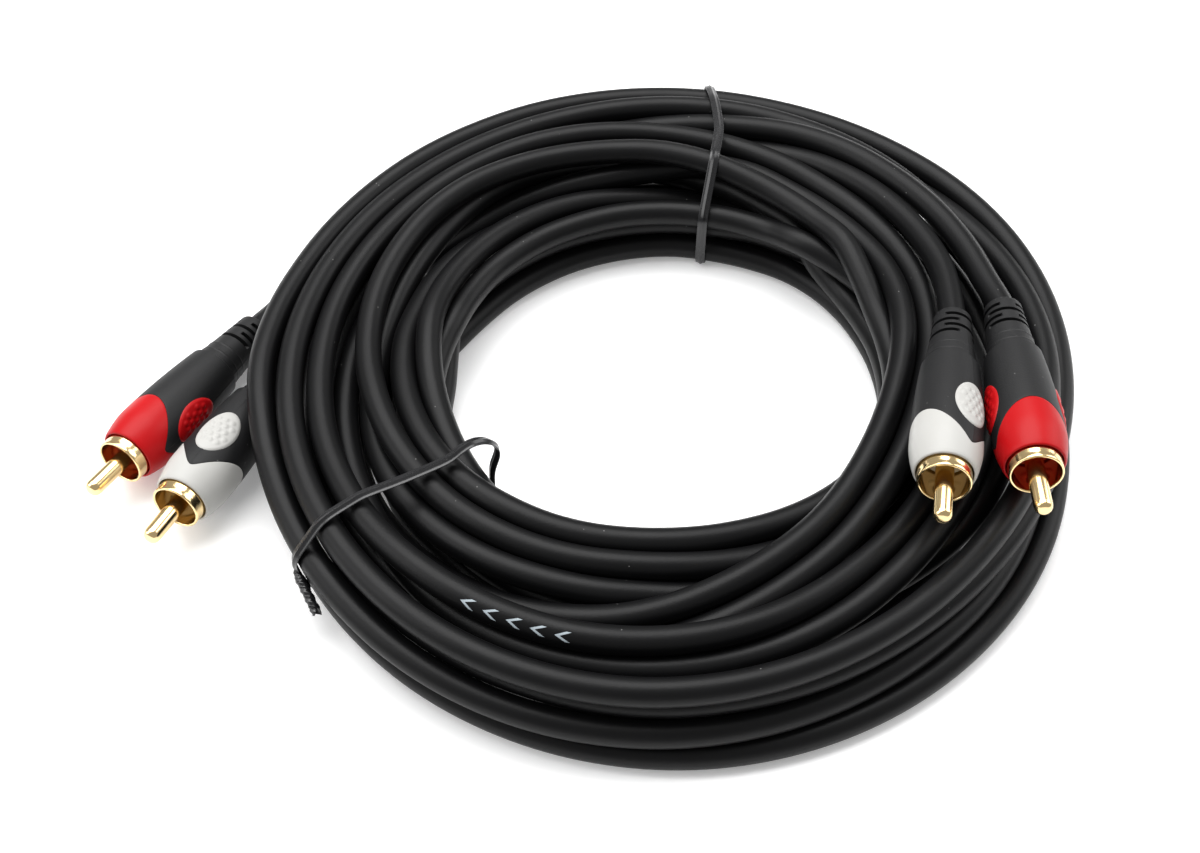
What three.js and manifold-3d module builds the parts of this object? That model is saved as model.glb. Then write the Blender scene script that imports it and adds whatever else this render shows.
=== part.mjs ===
// A stereo phono cable: twin cord wound into a flat coil, two twist ties, and four plugs on single tails.
// Millimetres, +Z up, the floor at z = 0 and the origin under the centre of the whole cable's box.
import * as THREE from "three";
import { mergeVertices } from "three/addons/utils/BufferGeometryUtils.js";
import Module from "manifold-3d";

const wasm = await Module();
wasm.setup();

// Clearances
const FIT = 0.3;
const FLOOR_GAP = 0.1;

// Cord and coil
const CORD_D = 5.0;
const COIL_INNER_R = 40.0;
const COIL_COLUMNS = 7;
const COLUMN_PITCH = 5.25;
const COIL_ROWS = 4;
const ROW_PITCH = 4.27;
const TURN_ARC_DEG = 50;
const COIL_SEGMENTS = 40;
const TAIL_SIDES = 8;
const TAIL_STEP = 10.0;
const TAIL_IN_PLUG = 11.5;

// Where the coil's centre lies from the origin
const COIL_X = 14.07;
const COIL_Y = -0.89;

// Twist ties
const TIE_WIDTH = 2.2;
const TIE_THICK = 0.8;
const TIE_SAMPLES = 16;
const TIE_CORNER_STEPS = 4;
const TIE_SLACK = 5.0;
const TWIST_LENGTH = 10.0;
const TWIST_TURNS = 1.5;
const TWIST_STEPS = 12;
const TWIST_WIDTH = 2.2;
const TWIST_THICK = 1.2;

// Plug, as radii and as stations behind the ring's front rim
const PIN_R = 1.6;
const PIN_REACH = 8.2;
const PIN_COLLAR_R = 2.6;
const PIN_COLLAR_LENGTH = 1.0;
const PIN_CUP_R = 1.0;
const PIN_CUP_DEPTH = 3.5;
const PIN_CUP_LENGTH = 3.0;
const RING_INNER_R = 4.15;
const RING_WALL = 0.5;
const RING_STAND = 2.3;
const RING_EDGE = 0.12;
const CUP_DEPTH = 7.8;
const CUP_FLOOR = 0.5;
const STEM_R = 3.7;
const STEM_WALL = 0.5;
const STEM_LENGTH = 4.7;
const INSULATOR_FACE = 6.0;
const SLEEVE_FRONT_R = 5.35;
const WIDEST_R = 6.35;
const WIDEST_AT = 8.5;
const SHOULDER_R = 5.3;
const SHOULDER_AT = 28.0;
const SHOULDER_LENGTH = 0.5;
const NECK_R = 4.6;
const RELIEF_R = 4.1;
const RELIEF_AT = 34.0;
const RELIEF_END_R = 3.5;
const PLUG_LENGTH = 42.0;
const DIP_AT = 5.9;
const LOBE_AT = 12.7;
const CORE_R = 5.0;
const CORE_BORE_R = 4.0;
const CORE_LENGTH = 22.5;
const CHAMBER_END = 27.0;
const BORE_TAPER = 2.0;
const PAD_AT = 15.0;
const PAD_LENGTH = 10.6;
const PAD_WIDTH = 7.0;
const PAD_PROUD = 0.25;
const SLOT_COUNT = 4;
const SLOT_FIRST = 35.1;
const SLOT_PITCH = 1.65;
const SLOT_WIDTH = 0.8;
const SLOT_BRIDGE = 2.4;
const PLUG_SEGMENTS = 16;
const FINE_SEGMENTS = 12;
const DROP_SAMPLES = 42;

// Inside the cord's end
const CONDUCTOR_R = 0.6;
const DIELECTRIC_R = 1.4;
const SHIELD_R = 0.35;
const SHIELD_START_R = 2.1;
const SHIELD_STEPS = 5;

const RED = { color: 0xc4201f, roughness: 0.38, metalness: 0.0 };
const WHITE = { color: 0xe9e7e0, roughness: 0.36, metalness: 0.0 };
const BLACK = { color: 0x161618, roughness: 0.55, metalness: 0.0 };
const JACKET = { color: 0x131315, roughness: 0.5, metalness: 0.0 };
const GOLD = { color: 0xe2b866, roughness: 0.2, metalness: 1.0 };
const COPPER = { color: 0xb8683a, roughness: 0.35, metalness: 1.0 };
const NATURAL = { color: 0xd8d6cc, roughness: 0.45, metalness: 0.0 };
const TIE_COAT = { color: 0x0d0d0e, roughness: 0.35, metalness: 0.0 };

const CORD_R = CORD_D / 2;
const COIL_OUTER_R = COIL_INNER_R + CORD_D + (COIL_COLUMNS - 1) * COLUMN_PITCH;
const COIL_HEIGHT = CORD_D + (COIL_ROWS - 1) * ROW_PITCH;
const RING_R = RING_INNER_R + RING_WALL;
const CUP_END = CUP_DEPTH + CUP_FLOOR;
const STEM_END = CUP_END + STEM_LENGTH;
const SLEEVE_BORE_R = RING_R + FIT;
const CORD_BORE_R = CORD_R + FIT;
const TAIL_START = PLUG_LENGTH - TAIL_IN_PLUG;

// Each plug: what it lies on, the ring's centre, the way its cord leaves (compass and rise), the turn of its pads from
// straight up, and the tail's route behind the plug. Places are from the coil's centre, in shares of its outer radius,
// and a route's third number is how far above its rest the tail runs, in cord diameters.
const ON_FLOOR = FLOOR_GAP;
const ON_COIL = COIL_HEIGHT + FIT;
const PLUGS = [
  {
    name: "left_red", finish: RED, rest: ON_FLOOR, ring: [-1.3072, -0.2275], heading: 62.2, rise: -5.8, roll: 80,
    route: [[-1.0144, 0.3294, 0.04], [-0.9647, 0.4131, 0], [-0.8993, 0.4993, 0], [-0.8131, 0.583, 0],
      [-0.7124, 0.6536, 0]],
  },
  {
    name: "left_white", finish: WHITE, rest: ON_FLOOR, ring: [-1.1529, -0.3621], heading: 66.8, rise: -5.8, roll: 4,
    route: [[-0.9046, 0.2144, 0.06], [-0.8627, 0.3033, 0]],
  },
  {
    name: "right_white", finish: WHITE, rest: ON_COIL, ring: [0.6, -0.4693], heading: 79.5, rise: -5.6, roll: 36.5,
    route: [[0.7019, 0.2555, 0.08], [0.6674, 0.3853, -0.1], [0.6084, 0.5105, -0.3],
      [0.5257, 0.6265, -0.56], [0.419, 0.7256, -0.93], [0.2903, 0.7977, -1.34]],
  },
  {
    name: "right_red", finish: RED, rest: ON_COIL, ring: [0.8078, -0.4444], heading: 88.1, rise: -5.4, roll: 92,
    route: [[0.786, 0.2861, 0.1], [0.7369, 0.4255, -0.01], [0.6638, 0.557, -0.13],
      [0.5672, 0.676, -0.28], [0.448, 0.7759, -0.45], [0.3074, 0.8446, -0.68],
      [0.1556, 0.8825, -1.2], [0, 0.8942, -1.4]],
  },
];

// Each tie: its compass place on the coil, the slack of its loop at the inner top edge, and where its twisted end lies.
const TIES = [
  { name: "back_twist_tie", heading: 80, slack: 0, twist: { high: true, lean: 25 } },
  { name: "front_twist_tie", heading: 213, slack: TIE_SLACK, twist: { high: false, lean: 260 } },
];

const rad = THREE.MathUtils.degToRad;

// A closed geometry with its shared corners merged and its faces turned outwards.
function merged(geometry) {
  const bare = geometry.clone();
  bare.deleteAttribute("normal");
  bare.deleteAttribute("uv");
  const whole = mergeVertices(bare, 1e-4);
  const kept = [];
  const index = whole.index.array;
  for (let i = 0; i < index.length; i += 3) {
    const [a, b, c] = [index[i], index[i + 1], index[i + 2]];
    if (a !== b && b !== c && c !== a) kept.push(a, b, c);
  }
  const at = (i) => new THREE.Vector3().fromBufferAttribute(whole.attributes.position, i);
  let volume = 0;
  for (let i = 0; i < kept.length; i += 3) {
    volume += at(kept[i]).dot(at(kept[i + 1]).cross(at(kept[i + 2])));
  }
  if (volume < 0) kept.reverse();
  whole.setIndex(kept);
  return whole;
}

function solid(geometry) {
  const whole = merged(geometry);
  const vertProperties = new Float32Array(whole.attributes.position.array);
  const triVerts = new Uint32Array(whole.index.array);
  return new wasm.Manifold(new wasm.Mesh({ numProp: 3, vertProperties, triVerts }));
}

function shell(manifold) {
  const out = manifold.getMesh();
  const geometry = new THREE.BufferGeometry();
  geometry.setAttribute("position", new THREE.BufferAttribute(new Float32Array(out.vertProperties), 3));
  geometry.setIndex(new THREE.BufferAttribute(new Uint32Array(out.triVerts), 1));
  geometry.computeVertexNormals();
  return geometry;
}

function piece(name, geometry, finish) {
  const mesh = new THREE.Mesh(geometry, new THREE.MeshStandardMaterial(finish));
  mesh.name = name;
  return mesh;
}

// Turns a profile of [radius, station] pairs about the Y axis.
function turned(profile, segments) {
  return merged(new THREE.LatheGeometry(profile.map(([r, s]) => new THREE.Vector2(r, s)), segments));
}

// As turned, with a profile that changes round the axis: each row gives its pair for an angle from the pads.
function turnedByAngle(rows, segments) {
  const lathe = new THREE.LatheGeometry(rows.map((row) => new THREE.Vector2(...row(0))), segments);
  const position = lathe.attributes.position;
  for (let i = 0; i <= segments; i++) {
    const angle = ((i % segments) / segments) * 2 * Math.PI;
    rows.forEach((row, j) => {
      const [r, s] = row(angle);
      position.setXYZ(i * rows.length + j, r * Math.sin(angle), s, r * Math.cos(angle));
    });
  }
  return merged(lathe);
}

function ellipseShape(length, width) {
  const shape = new THREE.Shape();
  shape.absellipse(0, 0, width / 2, length / 2, 0, 2 * Math.PI);
  return shape;
}

// A tube of round section along a smooth curve through the points.
function tube(points, radius, sides, step) {
  const path = new THREE.CatmullRomCurve3(points, false, "centripetal");
  const section = new THREE.Shape();
  for (let i = 0; i < sides; i++) {
    const a = ((i + 0.5) / sides) * 2 * Math.PI;
    const [x, y] = [radius * Math.cos(a), radius * Math.sin(a)];
    if (i === 0) section.moveTo(x, y);
    else section.lineTo(x, y);
  }
  const steps = Math.max(2, Math.round(path.getLength() / step));
  return merged(new THREE.ExtrudeGeometry(section, { steps, extrudePath: path, bevelEnabled: false }));
}

// The plug's outer radius at a station: a swelling from the sleeve's front to the widest place, then a taper to the
// shoulder, a short step, the neck and the strain relief.
function skinRadius(s) {
  const { clamp, lerp } = THREE.MathUtils;
  if (s < WIDEST_AT) {
    const u = clamp((s - RING_STAND) / (WIDEST_AT - RING_STAND), 0, 1);
    return lerp(SLEEVE_FRONT_R, WIDEST_R, Math.sin((u * Math.PI) / 2));
  }
  if (s < SHOULDER_AT) {
    const u = (s - WIDEST_AT) / (SHOULDER_AT - WIDEST_AT);
    return lerp(WIDEST_R, SHOULDER_R, u * u);
  }
  if (s < SHOULDER_AT + SHOULDER_LENGTH) return lerp(SHOULDER_R, NECK_R, (s - SHOULDER_AT) / SHOULDER_LENGTH);
  if (s < RELIEF_AT) {
    return lerp(NECK_R, RELIEF_R, (s - SHOULDER_AT - SHOULDER_LENGTH) / (RELIEF_AT - SHOULDER_AT - SHOULDER_LENGTH));
  }
  return lerp(RELIEF_R, RELIEF_END_R, clamp((s - RELIEF_AT) / (PLUG_LENGTH - RELIEF_AT), 0, 1));
}

// Where the coloured sleeve ends at an angle from the pads: a point forward at each pad and a round lobe between them.
function splitStation(angle) {
  return DIP_AT + (LOBE_AT - DIP_AT) * Math.abs(Math.sin(angle));
}

function centrePin() {
  const profile = [];
  const tipSteps = 4;
  for (let i = 0; i <= tipSteps; i++) {
    const a = (i / tipSteps) * (Math.PI / 2);
    profile.push([PIN_R * Math.sin(a), -PIN_REACH + PIN_R * (1 - Math.cos(a))]);
  }
  const collar = STEM_END;
  const end = collar + PIN_COLLAR_LENGTH + PIN_CUP_LENGTH;
  profile.push([PIN_R, collar], [PIN_COLLAR_R, collar], [PIN_COLLAR_R, collar + PIN_COLLAR_LENGTH]);
  profile.push([PIN_R, collar + PIN_COLLAR_LENGTH], [PIN_R, end], [PIN_CUP_R, end]);
  profile.push([PIN_CUP_R, end - PIN_CUP_DEPTH], [0, end - PIN_CUP_DEPTH]);
  return { geometry: turned(profile, FINE_SEGMENTS), cupFloor: end - PIN_CUP_DEPTH, cupEnd: end };
}

function insulator() {
  const bore = PIN_R + FIT;
  const front = RING_INNER_R - FIT;
  const rear = STEM_R - STEM_WALL - FIT;
  const step = CUP_DEPTH - FIT;
  const end = STEM_END - FIT;
  return turned([[bore, INSULATOR_FACE], [front, INSULATOR_FACE], [front, step], [rear, step], [rear, end],
    [bore, end], [bore, INSULATOR_FACE]], FINE_SEGMENTS);
}

function groundShell() {
  const bore = STEM_R - STEM_WALL;
  return turned([[RING_INNER_R + RING_EDGE, 0], [RING_R - RING_EDGE, 0], [RING_R, RING_EDGE], [RING_R, CUP_END],
    [STEM_R, CUP_END], [STEM_R, STEM_END], [bore, STEM_END], [bore, CUP_DEPTH], [RING_INNER_R, CUP_DEPTH],
    [RING_INNER_R, RING_EDGE], [RING_INNER_R + RING_EDGE, 0]], PLUG_SEGMENTS);
}

// Rows of an outer skin from one station to another, both of which may change round the plug.
function skinRows(from, to, count, proud = 0) {
  return Array.from({ length: count + 1 }, (_, i) => (angle) => {
    const s = THREE.MathUtils.lerp(from(angle), to(angle), i / count);
    return [skinRadius(s) + proud, s];
  });
}

function padPrism(clearance) {
  const shape = ellipseShape(PAD_LENGTH + 2 * clearance, PAD_WIDTH + 2 * clearance);
  const reach = WIDEST_R + PAD_PROUD + FIT;
  const prism = new THREE.ExtrudeGeometry(shape, { depth: 2 * reach, bevelEnabled: false, curveSegments: 8 });
  prism.translate(0, PAD_AT, -reach);
  return solid(prism);
}

function colouredMoulding() {
  const step = CUP_END + FIT;
  const rows = skinRows(() => RING_STAND, splitStation, 4);
  rows.push((angle) => [CORE_R, splitStation(angle)], () => [CORE_R, CORE_LENGTH], () => [CORE_BORE_R, CORE_LENGTH]);
  rows.push(() => [CORE_BORE_R, step], () => [SLEEVE_BORE_R, step], () => [SLEEVE_BORE_R, RING_STAND], rows[0]);
  const core = solid(turnedByAngle(rows, PLUG_SEGMENTS));
  const middle = (CORE_R + CORE_BORE_R) / 2;
  const from = () => PAD_AT - PAD_LENGTH / 2 - FIT;
  const to = () => PAD_AT + PAD_LENGTH / 2 + FIT;
  const band = skinRows(from, to, 4, PAD_PROUD);
  band.push(() => [middle, to()], () => [middle, from()], band[0]);
  const pads = solid(turnedByAngle(band, PLUG_SEGMENTS)).intersect(padPrism(0));
  return shell(core.add(pads));
}

// Two opposite cuts across the strain relief, which leave a bridge on each side.
function reliefSlots() {
  const cuts = [];
  for (let i = 0; i < SLOT_COUNT; i++) {
    for (const side of [-1, 1]) {
      const depth = RELIEF_R + 1;
      const box = new THREE.BoxGeometry(depth, SLOT_WIDTH, 2 * depth);
      box.translate(side * (depth / 2 + SLOT_BRIDGE / 2), SLOT_FIRST + i * SLOT_PITCH, 0);
      if (i % 2) box.rotateY(Math.PI / 2);
      cuts.push(solid(box));
    }
  }
  return cuts;
}

function gripMoulding() {
  const front = (angle) => splitStation(angle) + FIT;
  const shoulder = () => SHOULDER_AT;
  const rows = skinRows(front, shoulder, 5);
  rows.push(() => [NECK_R, SHOULDER_AT + SHOULDER_LENGTH], () => [RELIEF_R, RELIEF_AT]);
  rows.push(() => [RELIEF_END_R, PLUG_LENGTH], () => [CORD_BORE_R, PLUG_LENGTH]);
  rows.push(() => [CORD_BORE_R, CHAMBER_END + BORE_TAPER], () => [CORE_BORE_R, CHAMBER_END]);
  rows.push(() => [CORE_BORE_R, CORE_LENGTH + FIT], () => [CORE_R + FIT, CORE_LENGTH + FIT]);
  rows.push((angle) => [CORE_R + FIT, front(angle)], rows[0]);
  let body = solid(turnedByAngle(rows, PLUG_SEGMENTS)).subtract(padPrism(FIT));
  for (const cut of reliefSlots()) body = body.subtract(cut);
  return shell(body);
}

// The plug's outside, larger by the clearance, as a cutter.
function plugRelief() {
  const start = WIDEST_AT;
  const rows = skinRows(() => start, () => PLUG_LENGTH, 12, FIT);
  const end = PLUG_LENGTH + FIT;
  rows.push(() => [RELIEF_END_R + FIT, end], () => [0, end]);
  rows.unshift(() => [0, start]);
  return turnedByAngle(rows, PLUG_SEGMENTS);
}

function onAxis(radius, from, to) {
  return turned([[0, from], [radius, from], [radius, to], [0, to]], FINE_SEGMENTS / 2);
}

function dielectric(from, to) {
  const bore = CONDUCTOR_R + FIT;
  return turned([[bore, from], [DIELECTRIC_R, from], [DIELECTRIC_R, to], [bore, to], [bore, from]], FINE_SEGMENTS / 2);
}

function shieldWire(end) {
  const wall = STEM_R - STEM_WALL / 2;
  const start = STEM_END + FIT;
  const bend = (start + CHAMBER_END) / 2;
  const points = [[0, start, wall], [0, bend, wall - SHIELD_R], [0, CHAMBER_END, SHIELD_START_R],
    [0, end, SHIELD_START_R]];
  return tube(points.map((p) => new THREE.Vector3(...p)), SHIELD_R, TAIL_SIDES, (end - start) / SHIELD_STEPS);
}

// How high a plug's ring is above a flat rest when the plug leans by the angle: the largest drop of its skin and pads.
function ringHeight(rise) {
  const drops = Array.from({ length: DROP_SAMPLES + 1 }, (_, i) => {
    const s = (PLUG_LENGTH * i) / DROP_SAMPLES;
    const proud = Math.abs(s - PAD_AT) < PAD_LENGTH / 2 ? PAD_PROUD : 0;
    return (skinRadius(s) + proud) * Math.cos(rise) - s * Math.sin(rise);
  });
  return Math.max(...drops);
}

// A group whose Y axis runs back along the cord and whose Z axis points out of a pad.
function placed(plug) {
  const [heading, rise] = [rad(plug.heading), rad(plug.rise)];
  const [x, y] = plug.ring;
  const back = new THREE.Vector3(
    Math.cos(rise) * Math.cos(heading), Math.cos(rise) * Math.sin(heading), Math.sin(rise));
  const side = new THREE.Vector3().crossVectors(back, new THREE.Vector3(0, 0, 1)).normalize();
  const up = new THREE.Vector3().crossVectors(side, back);
  const group = new THREE.Group();
  group.setRotationFromMatrix(new THREE.Matrix4().makeBasis(side, back, up));
  group.rotateY(rad(plug.roll));
  group.position.set(x * COIL_OUTER_R, y * COIL_OUTER_R, plug.rest + ringHeight(rise));
  group.updateMatrix();
  return group;
}

// A tail's centreline, from inside the plug's bore to its end in the coil.
function tailPoints(plug, group) {
  const inside = [TAIL_START, (TAIL_START + PLUG_LENGTH) / 2, PLUG_LENGTH];
  const points = inside.map((s) => new THREE.Vector3(0, s, 0).applyMatrix4(group.matrix));
  const route = plug.route.map(([x, y, above]) => new THREE.Vector3(
    x * COIL_OUTER_R, y * COIL_OUTER_R, plug.rest + CORD_R + above * CORD_D));
  return points.concat(route);
}

function lengthened(points, by) {
  const [before, last] = points.slice(-2);
  const way = new THREE.Vector3().subVectors(last, before).setLength(by);
  return points.concat([last.clone().add(way)]);
}

// The coil's section: the outer turns as arcs, over a flat underside.
function coilProfile() {
  const inner = COIL_INNER_R + CORD_R;
  const outer = COIL_OUTER_R - CORD_R;
  const top = COIL_HEIGHT - CORD_R;
  const turns = [];
  for (let i = 0; i < COIL_ROWS - 1; i++) turns.push([outer, CORD_R + i * ROW_PITCH, 0]);
  turns.push([outer, top, 45]);
  for (let i = COIL_COLUMNS - 2; i > 0; i--) turns.push([inner + i * COLUMN_PITCH, top, 90]);
  turns.push([inner, top, 135]);
  for (let i = COIL_ROWS - 2; i >= 0; i--) turns.push([inner, CORD_R + i * ROW_PITCH, 180]);
  const profile = [[outer, 0]];
  for (const [r, z, facing] of turns) {
    for (const lean of [-TURN_ARC_DEG, 0, TURN_ARC_DEG]) {
      const a = rad(facing + lean);
      profile.push([r + CORD_R * Math.cos(a), z + CORD_R * Math.sin(a)]);
    }
  }
  profile.push([inner, 0], [outer, 0]);
  return profile;
}

function coil(cutters) {
  const ring = turned(coilProfile(), COIL_SEGMENTS);
  ring.rotateX(Math.PI / 2);
  let body = solid(ring);
  for (const cutter of cutters) body = body.subtract(solid(cutter));
  return shell(body);
}

// A tie's line round the coil's section, drawn with x outwards from the coil's centre and y up. With slack, the loop
// stands away from the coil's inner top edge.
function tieLine(tie) {
  const half = TIE_THICK / 2;
  const out = COIL_OUTER_R + FIT + half;
  const inn = COIL_INNER_R - FIT - half;
  const low = FLOOR_GAP + half;
  const high = COIL_HEIGHT + FIT + half;
  const corner = CORD_R + FIT + half;
  const round = (x, y, from) => Array.from({ length: TIE_CORNER_STEPS + 1 }, (_, i) => {
    const a = rad(from + (90 * i) / TIE_CORNER_STEPS);
    return new THREE.Vector2(x + corner * Math.cos(a), y + corner * Math.sin(a));
  });
  const line = [...round(out - corner, low + corner, -90), ...round(out - corner, high - corner, 0)];
  if (tie.slack) {
    const bulge = [[inn + 4 * corner, high], [inn + 2 * corner, high + tie.slack / 4], [inn, high + tie.slack / 2],
      [inn - tie.slack, high], [inn - tie.slack, high - 2 * corner], [inn, low + 2 * corner]];
    line.push(...new THREE.SplineCurve(bulge.map((p) => new THREE.Vector2(...p))).getPoints(TIE_SAMPLES));
  } else {
    line.push(...round(inn + corner, high - corner, 90));
  }
  return line.concat(round(inn + corner, low + corner, 180));
}

// The closed line moved sideways by a distance, with its corners mitred.
function besideLine(line, distance) {
  return line.map((point, i) => {
    const before = line[(i + line.length - 1) % line.length];
    const after = line[(i + 1) % line.length];
    const a = new THREE.Vector2().subVectors(point, before).normalize();
    const b = new THREE.Vector2().subVectors(after, point).normalize();
    const reach = distance / (1 + a.dot(b));
    return new THREE.Vector2(point.x + (a.y + b.y) * reach, point.y - (a.x + b.x) * reach);
  });
}

// A band along a tie's line, between two distances from it and of a given width, standing at the tie's place.
function tieBand(tie, outwards, inwards, width) {
  const line = tieLine(tie);
  const shape = new THREE.Shape(besideLine(line, outwards));
  shape.holes.push(new THREE.Path(besideLine(line, -inwards)));
  const band = new THREE.ExtrudeGeometry(shape, { depth: width, bevelEnabled: false });
  return band.translate(0, 0, -width / 2);
}

function standing(geometry, tie) {
  return geometry.rotateX(Math.PI / 2).rotateZ(rad(tie.heading));
}

// The groove that a tie leaves in the coil.
function tieGroove(tie) {
  const deep = TIE_THICK / 2 + FIT;
  return standing(tieBand(tie, deep + CORD_R, deep, TIE_WIDTH + 2 * FIT), tie);
}

function twistTie(tie) {
  const loop = tieBand(tie, TIE_THICK / 2, TIE_THICK / 2, TIE_WIDTH);
  const bar = new THREE.BoxGeometry(TWIST_WIDTH, TWIST_THICK, TWIST_LENGTH, 1, 1, TWIST_STEPS);
  const position = bar.attributes.position;
  for (let i = 0; i < position.count; i++) {
    const v = new THREE.Vector3().fromBufferAttribute(position, i);
    v.applyAxisAngle(new THREE.Vector3(0, 0, 1), (v.z / TWIST_LENGTH) * TWIST_TURNS * 2 * Math.PI);
    position.setXYZ(i, v.x, v.y, v.z);
  }
  bar.translate(0, 0, TWIST_LENGTH / 2);
  bar.rotateX(rad(tie.twist.lean - 90));
  const height = tie.twist.high ? COIL_HEIGHT - CORD_R : COIL_HEIGHT / 2;
  bar.translate(COIL_OUTER_R + FIT + TIE_THICK + TWIST_WIDTH / 2 - FIT, height, 0);
  return standing(shell(solid(loop).add(solid(bar))), tie);
}

const cable = new THREE.Group();
const layout = new THREE.Group();
layout.position.set(COIL_X, COIL_Y, 0);
cable.add(layout);

const coilCutters = TIES.map(tieGroove);
for (const plug of PLUGS) {
  const group = placed(plug);
  const pin = centrePin();
  group.add(
    piece(`${plug.name}_centre_pin`, pin.geometry, GOLD),
    piece(`${plug.name}_insulator`, insulator(), plug.finish === RED ? RED : NATURAL),
    piece(`${plug.name}_ground_shell`, groundShell(), GOLD),
    piece(`${plug.name}_sleeve_and_pads`, colouredMoulding(), plug.finish),
    piece(`${plug.name}_grip_and_relief`, gripMoulding(), BLACK),
    piece(`${plug.name}_conductor`, onAxis(CONDUCTOR_R, pin.cupFloor + FIT, TAIL_START - FIT), COPPER),
    piece(`${plug.name}_dielectric`, dielectric(pin.cupEnd + FIT, TAIL_START - FIT), NATURAL),
    piece(`${plug.name}_shield_wire`, shieldWire(TAIL_START - FIT), COPPER),
  );
  layout.add(group);
  const points = tailPoints(plug, group);
  layout.add(piece(`${plug.name}_tail`, tube(points, CORD_R, TAIL_SIDES, TAIL_STEP), JACKET));
  coilCutters.push(tube(lengthened(points, FIT), CORD_BORE_R, TAIL_SIDES, TAIL_STEP));
  coilCutters.push(plugRelief().applyMatrix4(group.matrix));
}
layout.add(piece("twin_cord_coil", coil(coilCutters), JACKET));
for (const tie of TIES) layout.add(piece(tie.name, twistTie(tie), TIE_COAT));

export default cable;
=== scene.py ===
"""A stereo phono cable: twin cord in a flat coil, two twist ties and four plugs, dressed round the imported
frame."""
import math

import bpy
import numpy as np
from bpy.props import FloatProperty, FloatVectorProperty, IntProperty
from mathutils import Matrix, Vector


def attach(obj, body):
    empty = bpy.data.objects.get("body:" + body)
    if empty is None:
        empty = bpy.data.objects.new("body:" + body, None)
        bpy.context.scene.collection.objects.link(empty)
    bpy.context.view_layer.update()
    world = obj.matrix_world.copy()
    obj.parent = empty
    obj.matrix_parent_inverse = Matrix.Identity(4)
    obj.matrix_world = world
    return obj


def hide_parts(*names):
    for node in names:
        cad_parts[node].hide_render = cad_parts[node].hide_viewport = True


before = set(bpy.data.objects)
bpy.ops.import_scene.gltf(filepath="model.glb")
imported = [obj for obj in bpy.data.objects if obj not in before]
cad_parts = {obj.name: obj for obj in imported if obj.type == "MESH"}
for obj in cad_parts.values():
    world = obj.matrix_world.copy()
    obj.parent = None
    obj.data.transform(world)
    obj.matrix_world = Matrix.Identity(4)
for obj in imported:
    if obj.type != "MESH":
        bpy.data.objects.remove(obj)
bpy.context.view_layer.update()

bl_info = {
    "name": "Stereo phono cable",
    "version": (1, 0, 0),
    "blender": (4, 5, 0),
    "location": "View3D > Sidebar > Phono cable",
    "description": "Cords, plugs and twist ties of a coiled stereo phono cable",
    "category": "Object",
}

MM = 0.001

# The coil's centre, in millimetres
COIL_CENTRE = np.array([14.07, -0.89, 0.0])
COIL_OUTER_R = 76.5
CORD_R = 2.5
FLOOR_REST = 0.1

# Plug sizes, as radii and as stations behind the ring's front rim, in millimetres
RING_STAND = 2.3
SLEEVE_FRONT_R = 5.35
WIDEST_R = 6.35
WIDEST_AT = 8.5
SHOULDER_R = 5.3
SHOULDER_AT = 28.0
SHOULDER_LENGTH = 0.5
NECK_R = 4.6
RELIEF_R = 4.1
RELIEF_AT = 34.0
RELIEF_END_R = 3.5
PLUG_LENGTH = 42.0
TAIL_START = 30.5
DIP_AT = 5.9
LOBE_AT = 12.7
DIP_ROUNDING = 0.16
CORE_R = 5.0
CORE_BORE_R = 4.0
CORE_LENGTH = 22.5
CHAMBER_END = 27.0
CORD_BORE_R = 2.8
SLEEVE_BORE_R = 4.95
CUP_STEP = 8.6
EDGE = 0.14
PAD_AT = 15.0
PAD_LENGTH = 10.6
PAD_WIDTH = 7.0
PAD_PROUD = 0.25
PAD_BASE_R = 3.9
DOT_PITCH = 1.45
DOT_SIZE = 0.34
DOT_HEIGHT = 0.16
SLOT_FIRST = 35.1
SLOT_PITCH = 1.65
SLOT_WIDTH = 0.8
SLOT_COUNT = 4
SLOT_FLOOR_R = 2.62
BRIDGE_ANGLE = math.radians(26)
RIB_STATIONS = (29.9, 31.9)
RIB_HEIGHT = 0.07
RIB_WIDTH = 0.14
SEAM_HEIGHT = 0.05
SEAM_WIDTH = 0.13

# The arrows printed on one jacket: their compass place, counted on through the turns, their share of the way
# round from its top, and their number; then, in metres, from one to the next, a stroke's length along the
# cord and half the width across it; and how far a stroke runs back for its distance from the middle
PRINT_AT = -2267
PRINT_TOP = 0.122
ARROW_COUNT = 5
ARROW_PITCH = 0.0041
ARROW_STROKE = 0.00085
ARROW_HALF_WIDTH = 0.0009
ARROW_SLANT = 2.0

# The strengths of the room and of the floor, which glows a little as a light table does, half the floor's
# side, the point that the camera looks at, and each lamp's name, place, size and power
WORLD_STRENGTH = 0.40
FLOOR_GLOW = 0.22
FLOOR_HALF = 3.0
LOOK_AT = (0.00217, -0.00289, 0.0)
LAMPS = [
    ("overhead_softbox", (-0.15, 0.35, 0.95), (1.1, 0.8), 16.0),
    ("left_softbox", (-0.8, -0.1, 0.5), (0.5, 0.7), 3.5),
    ("right_softbox", (0.8, 0.3, 0.5), (0.5, 0.7), 3.5),
]

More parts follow.
